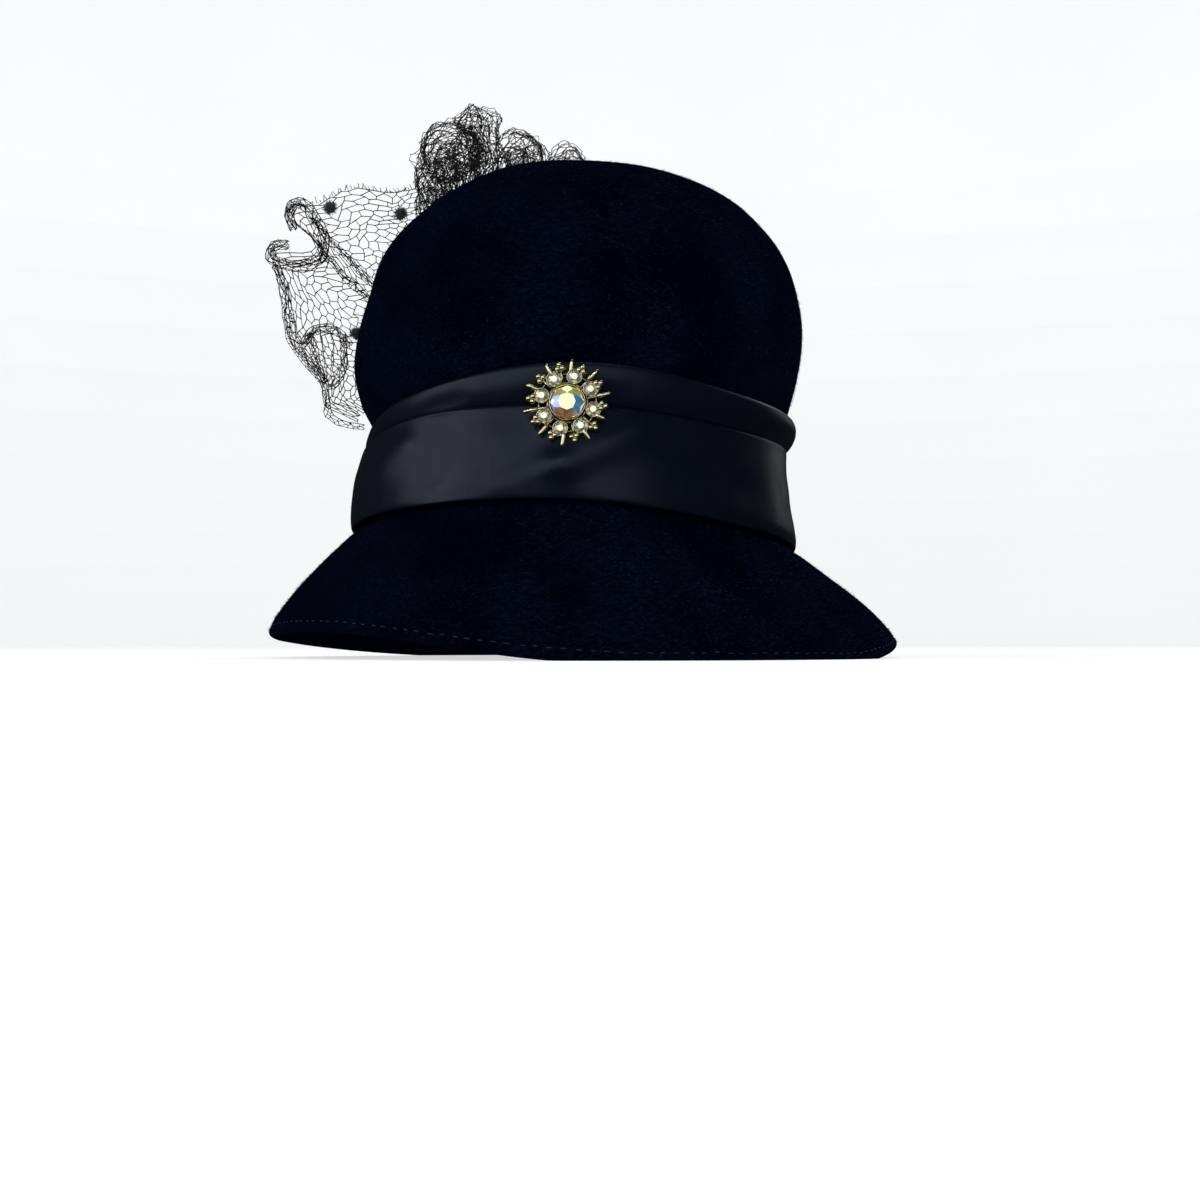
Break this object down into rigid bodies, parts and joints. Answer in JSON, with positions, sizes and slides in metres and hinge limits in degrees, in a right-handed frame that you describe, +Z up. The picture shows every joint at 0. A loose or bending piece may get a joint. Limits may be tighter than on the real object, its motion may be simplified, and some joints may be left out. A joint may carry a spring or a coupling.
{
  "type": "cloche hat",
  "caption": "Domed velour felt hat with a drooping brim, draped satin band, round starburst brooch and dotted veiling at the back left.",
  "frame": {"origin": "on the floor, under the middle of the hat's overall outline", "axes": "+Z up; -Y is the front, where the brooch is; +X is to the right as seen from the front"},
  "size_m": [0.242, 0.26, 0.2229],
  "materials": {
    "felt": "near-black navy velour, brushed nap",
    "satin": "soft satin weave",
    "gilt_metal": "worn antique gilt",
    "crystal": "cut, with a foiled back",
    "net": "stiffened veiling thread"
  },
  "bodies": {
    "root": {"crown": "felt", "brim": "felt", "satin_band": "satin", "brooch_setting": "gilt_metal", "brooch_pin": "gilt_metal", "centre_stone": "crystal", "veil_fan": "net", "veil_ruffle": "net", "small_stone_1": "crystal", "small_stone_2": "crystal", "small_stone_3": "crystal", "small_stone_4": "crystal", "small_stone_5": "crystal", "small_stone_6": "crystal", "small_stone_7": "crystal", "small_stone_8": "crystal", "veil_dot_1": "net", "veil_dot_2": "net", "veil_dot_3": "net", "veil_dot_4": "net", "veil_dot_5": "net"}
  },
  "joints": []
}
